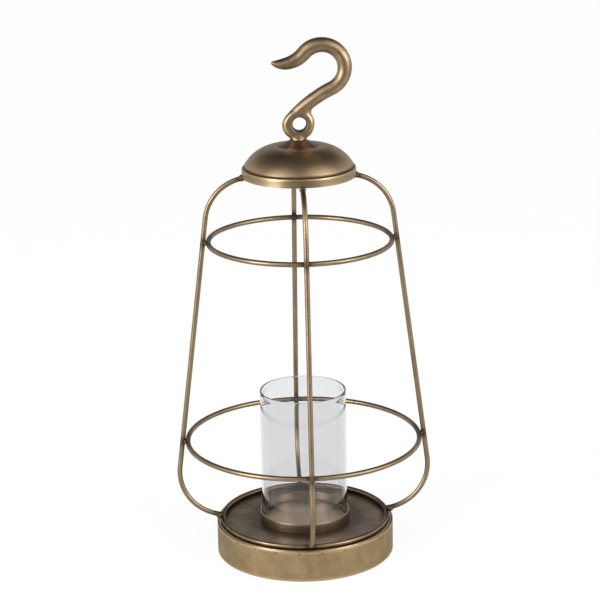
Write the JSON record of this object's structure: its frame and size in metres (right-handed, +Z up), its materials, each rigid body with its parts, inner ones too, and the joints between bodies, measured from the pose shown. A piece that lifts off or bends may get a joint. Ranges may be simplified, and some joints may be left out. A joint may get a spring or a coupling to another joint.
{
  "type": "candle lantern",
  "caption": "Hanging candle lantern: bell-shaped cage of bent rods and hoops between a drum base and a domed cap, with a cast hook and a glass chimney that lifts out.",
  "frame": {"origin": "centre of the underside, on the surface the lantern stands on", "axes": "+Z up along the lantern's axis; the ribs lie on X and Y; the hook's tip points to -X; front is -Y"},
  "size_m": [0.2438, 0.2438, 0.4993],
  "materials": {
    "rod_brass": "antique brass on drawn rod, worn light on the edges",
    "ring_brass": "antique brass, dark",
    "drum_brass": "antique brass on spun sheet, fine turning lines",
    "tray_brass": "antique brass, dark patina",
    "cup_brass": "antique brass on spun sheet",
    "plate_brass": "antique brass, dark patina",
    "cap_brass": "antique brass on spun sheet, darker on the crown",
    "hook_brass": "antique brass on a casting, rubbed on the high places",
    "brazing": "dark brazing filler",
    "fixing_steel": "brassed steel",
    "chimney_glass": "clear soda glass",
    "felt": "felt"
  },
  "bodies": {
    "lantern": {"felt_pads": "felt", "base_foot_ring": "tray_brass", "base_drum": "drum_brass", "base_tray": "tray_brass", "base_ring": "ring_brass", "glass_cup": "cup_brass", "rib_right": "rod_brass", "rib_back": "rod_brass", "rib_left": "rod_brass", "rib_front": "rod_brass", "lower_hoop": "rod_brass", "upper_hoop": "rod_brass", "foot_brazing": "brazing", "lower_brazing": "brazing", "upper_brazing": "brazing", "cap_brazing": "brazing", "cap_plate": "plate_brass", "cap_shell": "cap_brass", "cap_collar": "cap_brass"},
    "glass": {"glass_chimney": "chimney_glass"},
    "hook": {"hook": "hook_brass", "hook_washer": "fixing_steel", "hook_nut": "fixing_steel"}
  },
  "joints": [
    {"name": "glass_lift", "type": "slide", "parent": "lantern", "child": "glass", "axis": [0, 0, 1], "range_m": [0, 0.115]},
    {"name": "hook_swivel", "type": "hinge", "parent": "lantern", "child": "hook", "pos_m": [0, 0, 0.4047], "axis": [0, 0, 1], "continuous": true}
  ]
}
